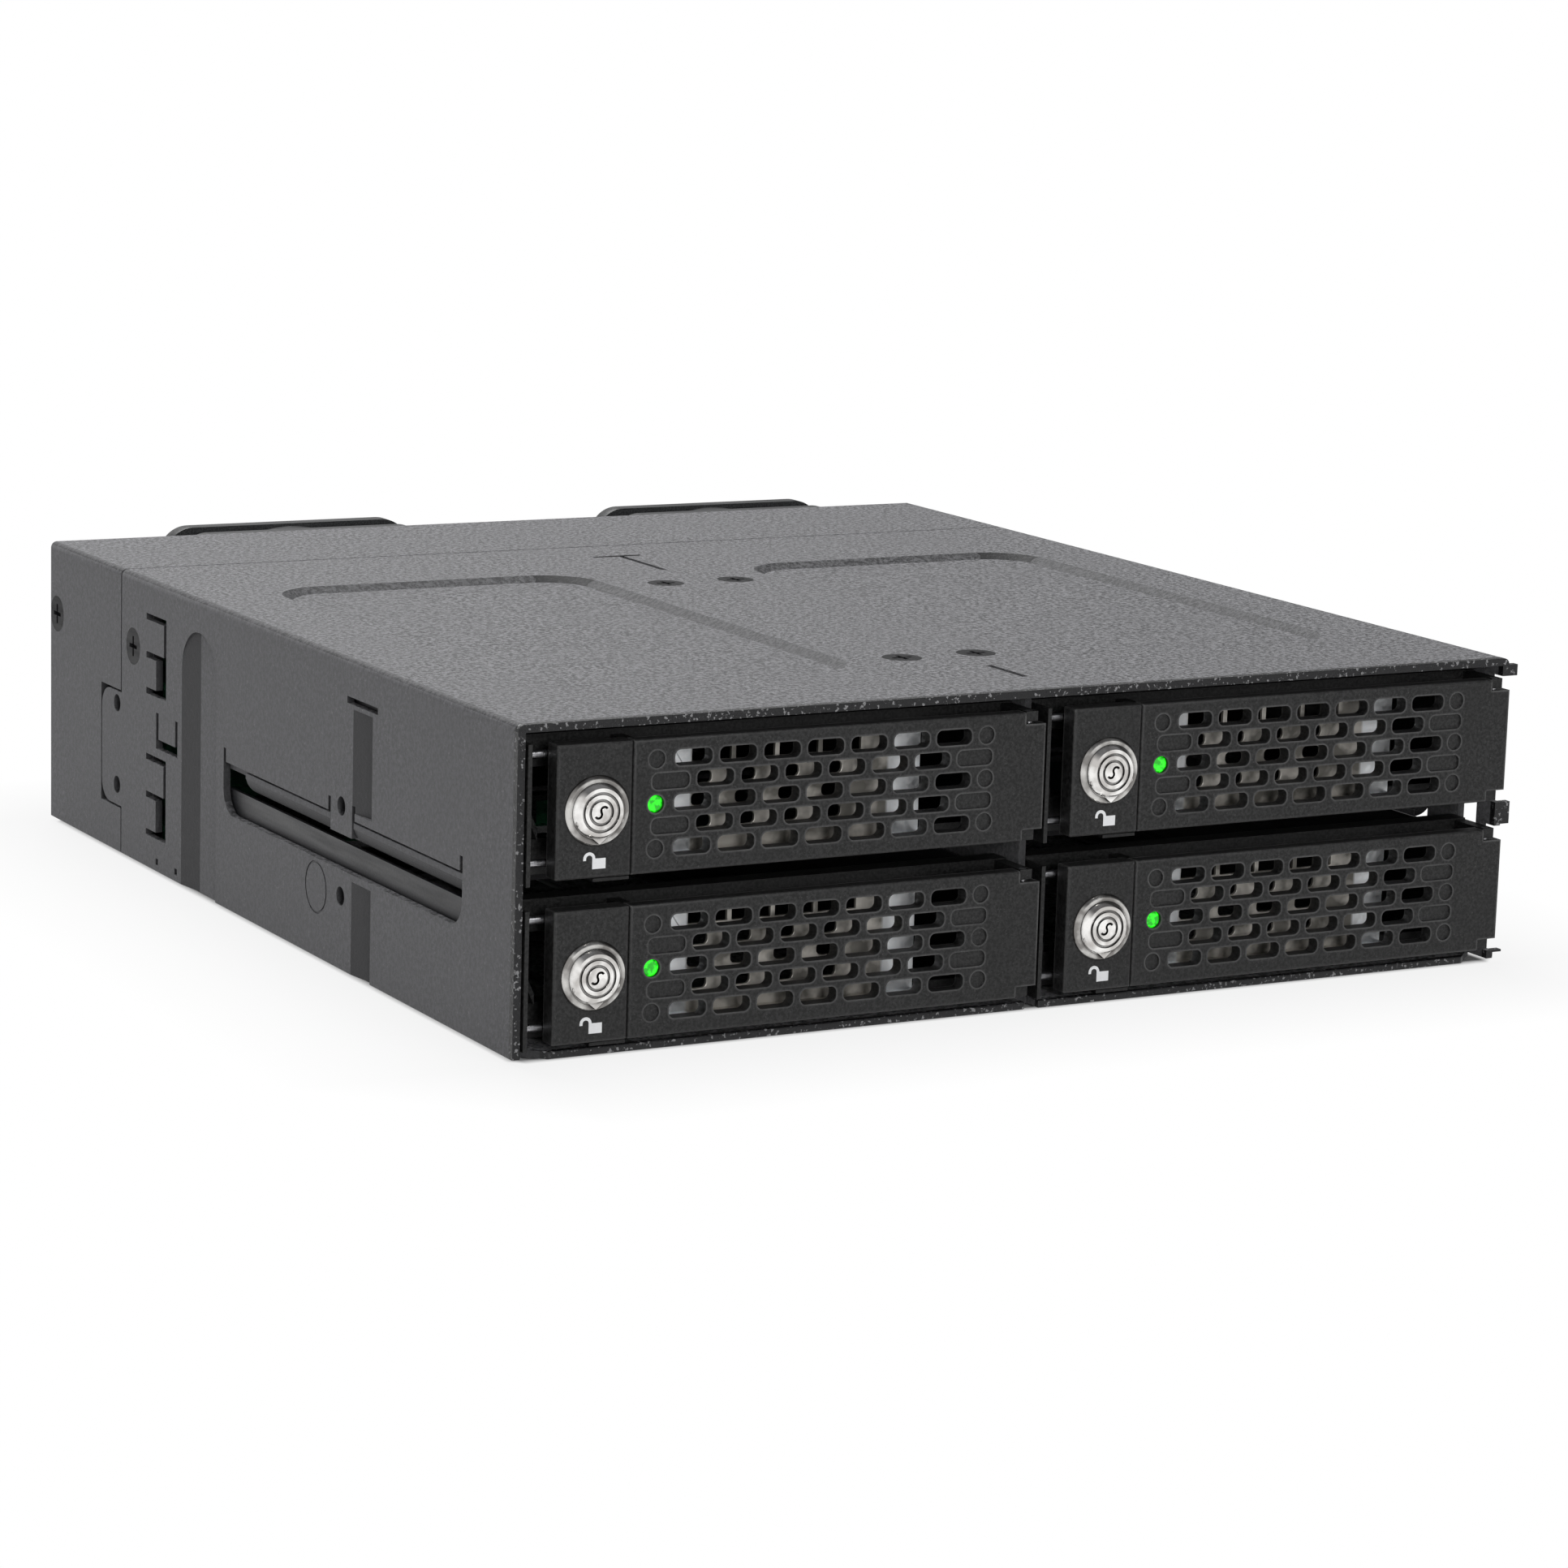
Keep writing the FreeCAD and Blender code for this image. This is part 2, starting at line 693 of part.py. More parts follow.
def leftWallCuts():
    """Slots, windows and holes that go right through the left wall."""
    outer = -halfWidth - past
    inner = -wallInner + wall / 2

    def opening(y0, y1, z0, z1):
        return box(outer, inner, y0, y1, z0, z1)

    def stroke(y, z0, z1):
        return opening(y - line / 2, y + line / 2, z0, z1)

    window = roundedBox(outer, inner, windowFront, windowRear, windowBottom, windowTop + windowRound,
                        0, windowRound)
    window = window.common(opening(windowFront, windowRear, windowBottom, windowTop))
    window = window.cut(opening(mountFirst - tabHalf, mountFirst + tabHalf, windowTop - tabDrop, windowTop))
    tools = [window]
    tabEnds = (mountFirst - tabHalf - tickWidth, mountFirst + tabHalf)
    for y in (windowFront, windowRear - tickWidth) + tabEnds:
        tools.append(opening(y, y + tickWidth, windowTop - tickWidth, windowTop + tickTall))
    # stamped springs near the rear, and the tongue between them
    y0 = shellDepth - springFront
    for high, middle, low in (springUpperZs, springLowerZs):
        tools.append(stroke(y0, low - line / 2, high + line / 2))
        tools.append(opening(y0, y0 + springThick, low, middle))
        for z in (high, middle, low):
            tools.append(opening(y0, y0 + springReach, z - line / 2, z + line / 2))
    tongueYs = (shellDepth - tongueFront, shellDepth - tongueRear)
    for y in tongueYs:
        tools.append(stroke(y, windowTop - tongueDrop, windowTop + tongueRise))
    tools.append(opening(*tongueYs, windowTop - tongueDrop, windowTop - tongueDrop + tongueBar))
    for y in tongueYs:
        tools.append(stroke(y, wallBottom + line, wallBottom + 2 * line))
    tools.append(opening(crossSlotFront, crossSlotRear, crossSlotUp - line / 2, crossSlotUp + line / 2))
    for y in mountYs:
        for z in sideHoleUps:
            tools.append(rod(mountHoleR, (outer, y, z), (inner, y, z)))
    return tools


def leftWallPresses():
    """Shallow pressed ramps, a channel and a ring mark in the outside of the left wall."""
    outer = -halfWidth - past
    face = -halfWidth
    tools = []
    for z0, z1 in ramps:
        wedge = [(face, rampRear, z0), (face + rampDepth, rampFront, z0),
                 (face - past, rampFront, z0), (face - past, rampRear, z0)]
        tools.append(prism(wedge, (0, 0, z1 - z0)))
    front = shellDepth - channelFront
    rear = shellDepth - channelRear
    outline = [(face, rear, -past), (face + channelDepth, rear - channelRamp, -past),
               (face + channelDepth, front, -past), (face - past, front, -past), (face - past, rear, -past)]
    channel = prism(outline, (0, 0, channelTop + past))
    endRound = (rear - front) / 2 - seam
    ends = roundedBox(outer, face + past, front, rear, -channelTop, channelTop, 0, endRound)
    tools.append(channel.common(ends))
    ring = rod(ringR, (outer, ringAcross, ringUp), (face + ringDepth, ringAcross, ringUp))
    core = rod(ringR - ringWidth, (outer, ringAcross, ringUp), (face + ringDepth, ringAcross, ringUp))
    tools.append(ring.cut(core))
    return tools


def shellFlap():
    """Flap of the left side that reaches over the rear cover and holds the rear bay screws."""
    rear = shellDepth + flapReach
    front = shellDepth - 2 * flapRound
    return roundedBox(-halfWidth, -wallInner, front, rear, flapBottom, flapTop, 0, flapRound)


def shell():
    """Top and both sides in one bent sheet, with the front stops at the right."""
    outside = box(-halfWidth, halfWidth, 0, shellDepth, wallBottom, cageHeight)
    outside = outside.makeFillet(edgeRound, edgesAlong(outside, 1, lambda x, y, z: z > halfWidth / 2))
    body = outside.cut(box(-wallInner, wallInner, -past, shellDepth + past, wallBottom - past, shellTop))
    y0 = pocketFront
    y1 = shellDepth - pocketRearGap
    outer = halfWidth - pocketEdge
    pad = box(-outer - past, past - pocketInner, y0 - past, y1 + past, shellTop - pocketDepth, shellTop)
    pads = withMirrors([pad, shellFlap()])
    for z0, z1 in earRows:
        pads.append(box(wallInner, halfWidth + earReach, 0, wall, z0, z1))
    tools = withMirrors([topPocket(-outer, -pocketInner, y0, y1)] + leftWallCuts() + leftWallPresses())
    for x, y in topScrewPlaces():
        tools += screwHole((x, y, cageHeight), (0, 0, -1), 2 * wall)
    for side in (-1, 1):
        tools += sideScrewHole(side, shellScrewY)
    # slits over the divider
    slitRear = shellDepth - boardGap + 2 * wall
    low = shellTop - past
    high = cageHeight + past
    tools.append(box(-headR - slitWidth, headR + 2 * slitWidth, slitRear - slitWidth, slitRear, low, high))
    tools.append(box(dividerHalf, dividerHalf + slitWidth, y1 - past, slitRear, low, high))
    tools.append(box(headR, headR + slitWidth, pocketFront - 4 * wallRelief, pocketFront - wallRelief,
                     low, high))
    # the right wall is set back where the doors swing, and open between the trays
    inner = wallInner - wall / 2
    reach = halfWidth + earReach + past
    for base in trayBases.values():
        z0 = base + frontBottom - reliefGap
        tools.append(box(inner, reach, -past, wallRelief, z0, base + frontTop + frontTopGap))
    tools.append(box(inner, reach, wallRelief + wall, sledFront - wall,
                     shelfBottom - trayGap / 2, shelfTop + past))
    return body.fuse(pads).cut(tools)


def topScrewPlaces():
    places = []
    for y in topScrewYs:
        for side in (-1, 1):
            places.append((topScrewShift + side * topScrewAcross, y))
    return places


def screwHole(face, inward, depth):
    """Countersunk hole from a point on the outside, along the direction inward."""
    start = FreeCAD.Vector(*face)
    along = FreeCAD.Vector(*inward)
    head = cone(headR + screwGap, screwR + screwGap, start, start + along * headTall)
    return [head, rod(screwR + screwGap, start, start + along * depth)]


def sideScrewHole(side, y):
    return screwHole((side * halfWidth, y, sideScrewUp), (-side, 0, 0), screwLength + seam)


def basePlate():
    """Floor of the cage with cut front corners, a front notch and rows of air slots."""
    inner = wallInner
    corner = baseCorner
    notchFront = baseSetback
    notchRear = baseSetback + baseNotchDepth
    notchLeftX = seam - baseNotch / 2
    notchRightX = seam + baseNotch / 2
    points = [(corner - inner, notchFront, 0), (notchLeftX, notchFront, 0), (notchLeftX, notchRear, 0),
              (notchRightX, notchRear, 0), (notchRightX, notchFront, 0), (inner - corner, notchFront, 0),
              (inner, corner, 0), (inner, baseRear, 0), (-inner, baseRear, 0), (-inner, corner, 0)]
    body = prism(points, (0, 0, baseThickness))
    tools = []
    for y in mountYs:
        for side in (-1, 1):
            x = side * baseHoleSpacing / 2
            tools.append(rod(mountHoleR, (x, y, -past), (x, y, baseThickness + past)))
    for middle in (-columnWidth / 2, columnWidth / 2):
        for k in range(baseSlotCount):
            x = middle + baseVentLeft + k * baseSlotPitch
            for y in baseSlotYs:
                tools.append(roundedBox(x - baseSlotWidth / 2, x + baseSlotWidth / 2, y, y + baseSlotLength,
                                        -past, baseThickness + past, 2, baseSlotWidth / 2 - seam))
    return body.cut(tools)


def divider():
    """Upright sheet between the columns, with a flange under the top."""
    flangeBottom = shellTop - dividerFlangeTall
    web = box(-dividerHalf, dividerHalf, dividerFront, boardFront - dividerRearGap, baseThickness, shellTop)
    flange = box(-dividerFlange, dividerFlange, pocketFront, shellDepth - pocketRearGap - wall,
                 flangeBottom, shellTop)
    tools = []
    for y in dividerWindowYs:
        for base in trayBases.values():
            tools.append(roundedBox(-wall, wall, y, y + dividerWindowLength,
                                    base + dividerWindowLow, base + dividerWindowHigh, 0, ventRound))
    for x, y in topScrewPlaces():
        tools.append(rod(screwR, (x, y, flangeBottom - past), (x, y, shellTop + past)))
    return fuse([web, flange]).cut(tools)


def midShelf(side):
    """Shelf under the upper tray of one column; its edge rolls out into the window of the wall."""
    outer = -wallInner - lipReach
    y0 = windowFront + lipGap
    y1 = windowRear - lipRearGap
    deck = box(-wallInner, -dividerHalf, shelfFront, boardFront - shelfRearGap, shelfBottom, shelfTop)
    edge = box(outer, -wallInner, y0, y1, shelfBottom, shelfTop)
    middle = (outer + lipR, shelfTop - lipGap)
    roll = rod(lipR, (middle[0], y0, middle[1]), (middle[0], y1, middle[1]))
    roll = roll.cut(rod(lipR - shelfThickness, (middle[0], y0, middle[1]), (middle[0], y1, middle[1])))
    roll = roll.common(box(outer, middle[0], y0, y1, middle[1] - lipR, middle[1]))
    tabFront = mountFirst - tabHalf - seam
    tabRear = mountFirst + tabHalf + seam
    tabBottom = windowTop - tabDrop - seam
    tools = [box(outer - past, lipGap / 2 - wallInner, tabFront, tabRear, tabBottom, shelfTop + past)]
    for y in shelfVentYs:
        tools.append(roundedBox(shelfVentEdge - wallInner, -shelfVentEdge, y, y + shelfVentLength,
                                shelfBottom - past, shelfTop + past, 2, ventRound))
    body = fuse([deck, edge, roll]).cut(tools)
    return body if side == "left" else mirrored(body)


def rearCover():
    """Bent rear box with fan openings, the cable window and brackets for the board."""
    outside = box(-halfWidth, halfWidth, coverFront, cageDepth, wallBottom, cageHeight)
    outside = outside.makeFillet(edgeRound, edgesAlong(outside, 1, lambda x, y, z: z > halfWidth / 2))
    body = outside.cut(box(-wallInner, wallInner, coverFront - past, coverRear, wallBottom - past, shellTop))
    pieces = [box(-wallInner, wallInner, baseRear + seam, coverRear, wallBottom, wallBottom + wall)]
    brackets = [box(-wallInner, nutInset - wallInner, coverScrewY - nutHalf, coverRear,
                    sideScrewUp - nutHalf, sideScrewUp + nutHalf)]
    for z0, z1 in bracketTall:
        brackets.append(box(-wallInner, wall - wallInner, boardRear, coverRear, z0, z1))
        brackets.append(box(-wallInner, bracketFlange - wallInner, boardRear, boardRear + wall, z0, z1))
    tools = withMirrors([box(-halfWidth - past, -wallInner, coverFront - past, shellDepth + flapReach + seam,
                             flapBottom - seam, flapTop + seam)])
    for side in (-1, 1):
        for y in (shellScrewY, coverScrewY):
            tools += sideScrewHole(side, y)
    for across in fanPlaces.values():
        tools.append(rod(fanBoreR, (across, coverRear - past, fanUp), (across, cageDepth + past, fanUp)))
    for x, z in fanScrewPlaces():
        tools.append(rod(screwR, (x, coverRear - past, z), (x, cageDepth + past, z)))
    for x, z in boardScrewPlaces():
        tools.append(rod(screwR, (x, boardRear - past, z), (x, boardRear + wall + past, z)))
    tools.append(roundedBox(fanShift - cableHalf, fanShift + cableHalf, coverRear - past, cageDepth + past,
                            cableBottom, cageHeight - cableTopGap, 1, cableRound))
    return body.fuse(pieces + withMirrors(brackets)).cut(tools)


def boardScrewPlaces():
    across = wallInner - boardScrewInset
    return [(side * across, z) for side in (-1, 1) for z in boardScrewUps]


def fanScrewPlaces():
    half = fanHolePitch / 2
    corners = [(sx * half, sz * half) for sx in (-1, 1) for sz in (-1, 1)]
    return [(across + x, fanUp + z) for across in fanPlaces.values() for x, z in corners]


def board():
    """Backplane board, with a vent slot over each drive."""
    body = box(-boardHalf, boardHalf, boardFront, boardRear, boardBottom, shellTop - boardTopGap)
    tools = []
    for x, z in boardScrewPlaces():
        tools.append(rod(screwR + screwGap, (x, boardFront - past, z), (x, boardRear + past, z)))
    for left in columns.values():
        middle = left + driveMiddle
        for base in trayBases.values():
            tools.append(roundedBox(middle - boardVentHalf, middle + boardVentHalf,
                                    boardFront - past, boardRear + past,
                                    base + boardVentLow, base + boardVentHigh, 1, cableRound))
    return body.cut(tools)


def driveSockets():
    """Four drive sockets, each with a slot that faces the tray."""
    sockets = []
    front = boardFront - socketDepth
    for left in columns.values():
        x0 = left + driveMiddle - socketWidth / 2
        for base in trayBases.values():
            z0 = base + socketUp
            block = box(x0, x0 + socketWidth, front, boardFront, z0, z0 + socketTall)
            slot = box(x0 + 2 * socketWall, x0 + socketWidth - 2 * socketWall,
                       front - past, boardFront - socketWall,
                       z0 + socketWall, z0 + socketTall - socketWall)
            sockets.append(block.cut(slot))
    return sockets


def rearPorts(width, places):
    """Cable ports on the rear of the board, open to the rear."""
    ports = []
    rear = boardRear + portDepth
    for x, z in places:
        block = box(x - width / 2, x + width / 2, boardRear, rear, z, z + portTall)
        slot = box(x - width / 2 + portWall, x + width / 2 - portWall, boardRear + portFloor, rear + past,
                   z + portWall, z + portTall - portWall)
        ports.append(block.cut(slot))
    return ports


def fanFrame():
    """Square fan frame, centred on x = 0, z = 0, from its mounting face at y = 0."""
    half = fanSize / 2
    plates = []
    for y0 in (0, fanDepth - fanFlange):
        plates.append(roundedBox(-half, half, y0, y0 + fanFlange, -half, half, 1, fanRound))
    duct = rod(fanDuctR, (0, 0, 0), (0, fanDepth, 0))
    body = fuse(plates + [duct]).cut(rod(fanBoreR, (0, -past, 0), (0, fanDepth + past, 0)))
    strutFront = fanDepth - strutDepth
    extras = [rod(hubR, (0, strutFront, 0), (0, fanDepth, 0))]
    extras.append(rod(spindleR, (0, spindleFront, 0), (0, strutFront, 0)))
    for k in range(4):
        arm = box(hubR - wall, (fanBoreR + fanDuctR) / 2, strutFront, fanDepth,
                  -strutWidth / 2, strutWidth / 2)
        extras.append(aim(arm, (0, 1, 0), strutTurn + 90 * k, 0, 0, 0))
    tools = []
    for sx in (-1, 1):
        for sz in (-1, 1):
            x = sx * fanHolePitch / 2
            z = sz * fanHolePitch / 2
            tools.append(rod(fanHoleR, (x, -past, z), (x, fanDepth + past, z)))
    return fuse([body] + extras).cut(tools)


def fanRotor():
    """Hub and pitched blades, with a bore that runs on the spindle."""
    hubRear = fanDepth - strutDepth - hubGap
    hub = rod(hubR - hubGap, (0, hubFront, 0), (0, hubRear, 0))
    hub = hub.makeFillet(bladeInset, frontRims(hub, hubFront))
    root = hubR - 2 * bladeInset
    y0 = hubFront + bladeInset
    span = hubRear - y0 - bladeInset
    lean = span * tan(radians(bladeLean))
    points = [(root, y0, 0), (root, y0, bladeThickness), (root, y0 + span, lean + bladeThickness),
              (root, y0 + span, lean)]
    blades = []
    for k in range(bladeCount):
        blade = prism(points, (bladeR - root, 0, 0))
        blades.append(aim(blade, (0, 1, 0), 360.0 / bladeCount * k, 0, 0, 0))
    body = fuse([hub] + blades).common(rod(bladeR, (0, 0, 0), (0, fanDepth, 0)))
    return body.cut(rod(spindleR + runningGap, (0, spindleFront - hubGap, 0), (0, fanDepth, 0)))


def throughScrew(x, z, y0, y1, side):
    """Plain screw along Y between y0 and y1, with its head outside y1 (side 1) or y0 (side -1)."""
    face = y1 if side > 0 else y0
    head = rod(headR, (x, face, z), (x, face + side * headProud, z))
    return fuse([head, rod(screwR - threadGap, (x, y0, z), (x, y1, z))])


os.makedirs("parts", exist_ok=True)

trayPieces = {"tray_sled": traySled(), "bezel": bezel(), "guide_rods": guideRods(),
              "grille_plate": grillePlate(), "door": door(), "hinge_pin": hingePin(),
              "status_lens": statusLens(), "lock_panel": lockPanel(), "lock_ring": lockRing(),
              "key_barrel": keyBarrel()}
for level, base in trayBases.items():
    for column, left in columns.items():
        for piece, shape in trayPieces.items():
            solids = shape if isinstance(shape, list) else [shape]
            save(piece + "_" + level + "_" + column, [moved(solid, left, 0, base) for solid in solids])

save("cage_shell", shell())
save("base_plate", basePlate())
save("centre_divider", divider())
for column in columns:
    save("mid_shelf_" + column, midShelf(column))
save("rear_cover", rearCover())
save("backplane_board", board())
save("drive_sockets", driveSockets())
save("data_ports", rearPorts(portWidth, [(fanShift + s * portAcross, z) for s in (-1, 1) for z in portUps]))
save("power_sockets", rearPorts(powerWidth, [(fanShift, z) for z in powerUps]))
headers = []
for side in (-1, 1):
    x0 = fanShift + side * headerAcross - headerWidth / 2
    headers.append(box(x0, x0 + headerWidth, boardRear, boardRear + headerDepth,
                       headerLow, headerLow + headerTall))
save("fan_headers", headers)
for column, across in fanPlaces.items():
    save("fan_frame_" + column, moved(fanFrame(), across, cageDepth, fanUp))
    save("fan_rotor_" + column, moved(fanRotor(), across, cageDepth, fanUp))
save("fan_screws", [throughScrew(x, z, coverRear, cageDepth + fanDepth, 1) for x, z in fanScrewPlaces()])
save("board_screws", [throughScrew(x, z, boardFront, boardRear + wall, -1) for x, z in boardScrewPlaces()])
longScrew = countersunkScrew(screwR, screwLength)
shortScrew = countersunkScrew(screwR - threadGap, shortScrewLength)
save("top_screws", [moved(shortScrew, x, y, cageHeight) for x, y in topScrewPlaces()])
sideScrews = []
for y, screw in ((shellScrewY, shortScrew), (coverScrewY, longScrew)):
    for side in (-1, 1):
        sideScrews.append(aim(screw, (0, 1, 0), side * 90, side * halfWidth, y, sideScrewUp))
save("side_screws", sideScrews)
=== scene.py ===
import bpy
import bmesh
import math
import json
from mathutils import Matrix, Vector


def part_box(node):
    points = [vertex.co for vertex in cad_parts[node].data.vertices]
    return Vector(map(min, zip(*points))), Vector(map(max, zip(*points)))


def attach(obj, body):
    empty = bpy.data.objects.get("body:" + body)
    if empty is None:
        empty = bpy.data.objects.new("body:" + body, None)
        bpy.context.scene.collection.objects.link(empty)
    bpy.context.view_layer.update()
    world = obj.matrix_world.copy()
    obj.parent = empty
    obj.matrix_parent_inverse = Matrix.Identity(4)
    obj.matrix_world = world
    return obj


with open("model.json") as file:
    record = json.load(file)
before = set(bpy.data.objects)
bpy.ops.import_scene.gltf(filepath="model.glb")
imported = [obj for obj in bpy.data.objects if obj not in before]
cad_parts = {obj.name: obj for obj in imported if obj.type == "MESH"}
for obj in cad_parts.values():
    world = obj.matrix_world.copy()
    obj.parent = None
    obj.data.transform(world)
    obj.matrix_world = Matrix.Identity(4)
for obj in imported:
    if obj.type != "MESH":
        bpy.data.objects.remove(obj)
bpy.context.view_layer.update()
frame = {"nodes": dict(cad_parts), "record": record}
mm = 0.001
trays = [(level, column) for level in ("lower", "upper") for column in ("left", "right")]
scene = bpy.context.scene
scene.view_settings.view_transform = "Standard"
print("frame loaded:", len(frame["nodes"]), "nodes")


cameraSet = {
    "azimuth": 29.18,      # degrees to the left of straight ahead
    "elevation": 11.03,
    "roll": 1.715,
    "distance": 0.6075,
    "lens": 109.66,
    "sensor": 36,
    "near": 0.01,
    "far": 20,
    "aimAcross": -0.0313,  # from the middle of the cage's front edge, in the camera's own plane
    "aimUp": 0.02868,
    "frontBehindDoors": 0.001,
}


def makeCamera(s):
    az, el, roll = (math.radians(s[k]) for k in ("azimuth", "elevation", "roll"))
    look = Vector((math.sin(az) * math.cos(el), math.cos(az) * math.cos(el), -math.sin(el)))
    right = look.cross(Vector((0, 0, 1))).normalized()
    up = right.cross(look)
    right, up = right * math.cos(roll) + up * math.sin(roll), up * math.cos(roll) - right * math.sin(roll)
    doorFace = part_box("door_lower_left")[0].y
    start = Vector((0, doorFace + s["frontBehindDoors"], 0))
    data = bpy.data.cameras.new("camera")
    data.lens = s["lens"]
    data.sensor_width = s["sensor"]
    data.clip_start = s["near"]
    data.clip_end = s["far"]
    camera = bpy.data.objects.new("camera", data)
    scene.collection.objects.link(camera)
    place = start + right * s["aimAcross"] + up * s["aimUp"] - look * s["distance"]
    turn = Matrix((right, up, -look)).transposed().to_4x4()
    camera.matrix_world = Matrix.Translation(place) @ turn
    scene.camera = camera


makeCamera(cameraSet)
print("camera placed")


class Signal:
    # one output socket; the usual operators add Math nodes
    def __init__(self, owner, socket):
        self.owner = owner
        self.socket = socket

    def maths(self, operation, a, b):
        return self.owner.node("ShaderNodeMath", {"operation": operation}, {0: a, 1: b})

    def __add__(self, other):
        return self.maths("ADD", self, other)

    def __radd__(self, other):
        return self.maths("ADD", other, self)

    def __sub__(self, other):
        return self.maths("SUBTRACT", self, other)

    def __rsub__(self, other):
        return self.maths("SUBTRACT", other, self)

    def __mul__(self, other):
        return self.maths("MULTIPLY", self, other)

    def __rmul__(self, other):
        return self.maths("MULTIPLY", other, self)


class Nodes:
    # a node tree, with short ways to add what the finishes need
    def __init__(self, tree):
        self.tree = tree

    def node(self, kind, settings=None, values=None, output=0):
        made = self.tree.nodes.new(kind)
        for key, value in (settings or {}).items():
            setattr(made, key, value)
        for key, value in (values or {}).items():
            self.feed(made.inputs[key], value)
        return Signal(self, made.outputs[output])

    def feed(self, socket, value):
        if isinstance(value, Signal):
            self.tree.links.new(value.socket, socket)
        elif isinstance(value, tuple) and len(value) == 3 and socket.type == "RGBA":
            socket.default_value = (*value, 1)
        else:
            socket.default_value = value

    def place(self):
        return self.node("ShaderNodeTexCoord", output="Object")

    def along(self, vector, axis):
        return self.node("ShaderNodeSeparateXYZ", {}, {0: vector}, axis)

    def noise(self, scale, detail=2.0, rough=0.5, vector=None):
        values = {"Vector": vector or self.place(), "Scale": scale, "Detail": detail, "Roughness": rough}
        return self.node("ShaderNodeTexNoise", {}, values, "Fac")

    def lines(self, stretch, detail=3, rough=0.6):
        # noise drawn out along one way
        vector = self.node("ShaderNodeMapping", {}, {"Vector": self.place(), "Scale": stretch})
        return self.noise(1, detail, rough, vector)

    def mix(self, amount, a, b):
        made = self.tree.nodes.new("ShaderNodeMix")
        made.data_type = "RGBA"
        sockets = [s for s in made.inputs if s.enabled]
        for socket, value in zip(sockets, (amount, a, b)):
            self.feed(socket, value)
        return Signal(self, [s for s in made.outputs if s.enabled][0])

    def clamp(self, value, low, high, newLow=0.0, newHigh=1.0):
        ranges = {"Value": value, "From Min": low, "From Max": high, "To Min": newLow, "To Max": newHigh}
        return self.node("ShaderNodeMapRange", {"clamp": True}, ranges)

    def facing(self, axis, low, high):
        # goes from 0 to 1 as the surface turns along an axis from low to high
        normal = self.node("ShaderNodeNewGeometry", output="True Normal")
        return self.clamp(self.along(normal, axis), low, high)

    def hollow(self, depth, inside=False):
        # 0 deep in a groove, or on a rim when it looks inside, and 1 in the open
        settings = {"samples": 6, "inside": inside}
        return self.node("ShaderNodeAmbientOcclusion", settings, {"Distance": depth * mm}, "AO")

    def ray(self, kind):
        return self.node("ShaderNodeLightPath", output=f"Is {kind} Ray")


class Finish(Nodes):
    # a material with its Principled shader
    def __init__(self, name):
        self.material = bpy.data.materials.new(name)
        self.material.use_nodes = True
        super().__init__(self.material.node_tree)
        self.shader = self.tree.nodes["Principled BSDF"]

    def set(self, **values):
        for key, value in values.items():
            self.feed(self.shader.inputs[key.replace("_", " ")], value)

    def bump(self, height, distance, strength):
        values = {"Height": height, "Distance": distance, "Strength": strength}
        self.set(Normal=self.node("ShaderNodeBump", {}, values, "Normal"))


def shade(colour, times, plus=0.0):
    return tuple(c * times + plus for c in colour)


# a Noise is a scale, a detail and a roughness; a Band is the stretch of it that goes from none to full
middleBand = (0.3, 0.7)      # most of a noise lies in it


coat = {
    "dark": (0.036, 0.036, 0.038), "light": (0.276, 0.276, 0.287),      # grain
    "grainNoise": (1600, 4, 0.75), "grainBand": (0.42, 0.58),
    "sideGrain": 0.35,      # the grain shows less on the walls
    "cloud": (0.150, 0.150, 0.156), "cloudNoise": (70, 2), "cloudShare": 0.3,
    "speck": (0.50, 0.50, 0.51), "speckNoise": (2100, 2, 0.6), "speckBand": (0.64, 0.74), "speckShare": 0.35,
    "chipNoise": (1900, 2, 0.6), "chipBand": (0.60, 0.66), "chipShare": 0.5,      # chips in the front edge
    "topTurn": (0.5, 0.6),
    "slopeTurn": (-0.03, -0.10), "slopeShade": 0.52, "wallSlopeShade": 0.25,      # how dark the painted shade on pressed slopes is
    "underTurn": (0.15, -0.5), "under": 0.0,      # and the painted shade on an underside
    "edge": (0.012, 0.012, 0.013), "edgeDepth": 0.9,      # black along the front, in mm
    "edgeBlur": 0.25,      # as a share of that depth
    "roughness": (0.50, 0.72), "edgeGloss": 0.28, "gloss": 0.30,
    "depth": 0.22, "relief": 0.55,      # the grain's height in mm, and how much of it shows
}


def frontMask(f, edgePlace, depth, blur):
    # 1 on what lies in front of a place along y, and on the inner faces close behind it
    return f.clamp(f.along(f.place(), 1), edgePlace + depth * mm, edgePlace + (1 + blur) * depth * mm, 1, 0)


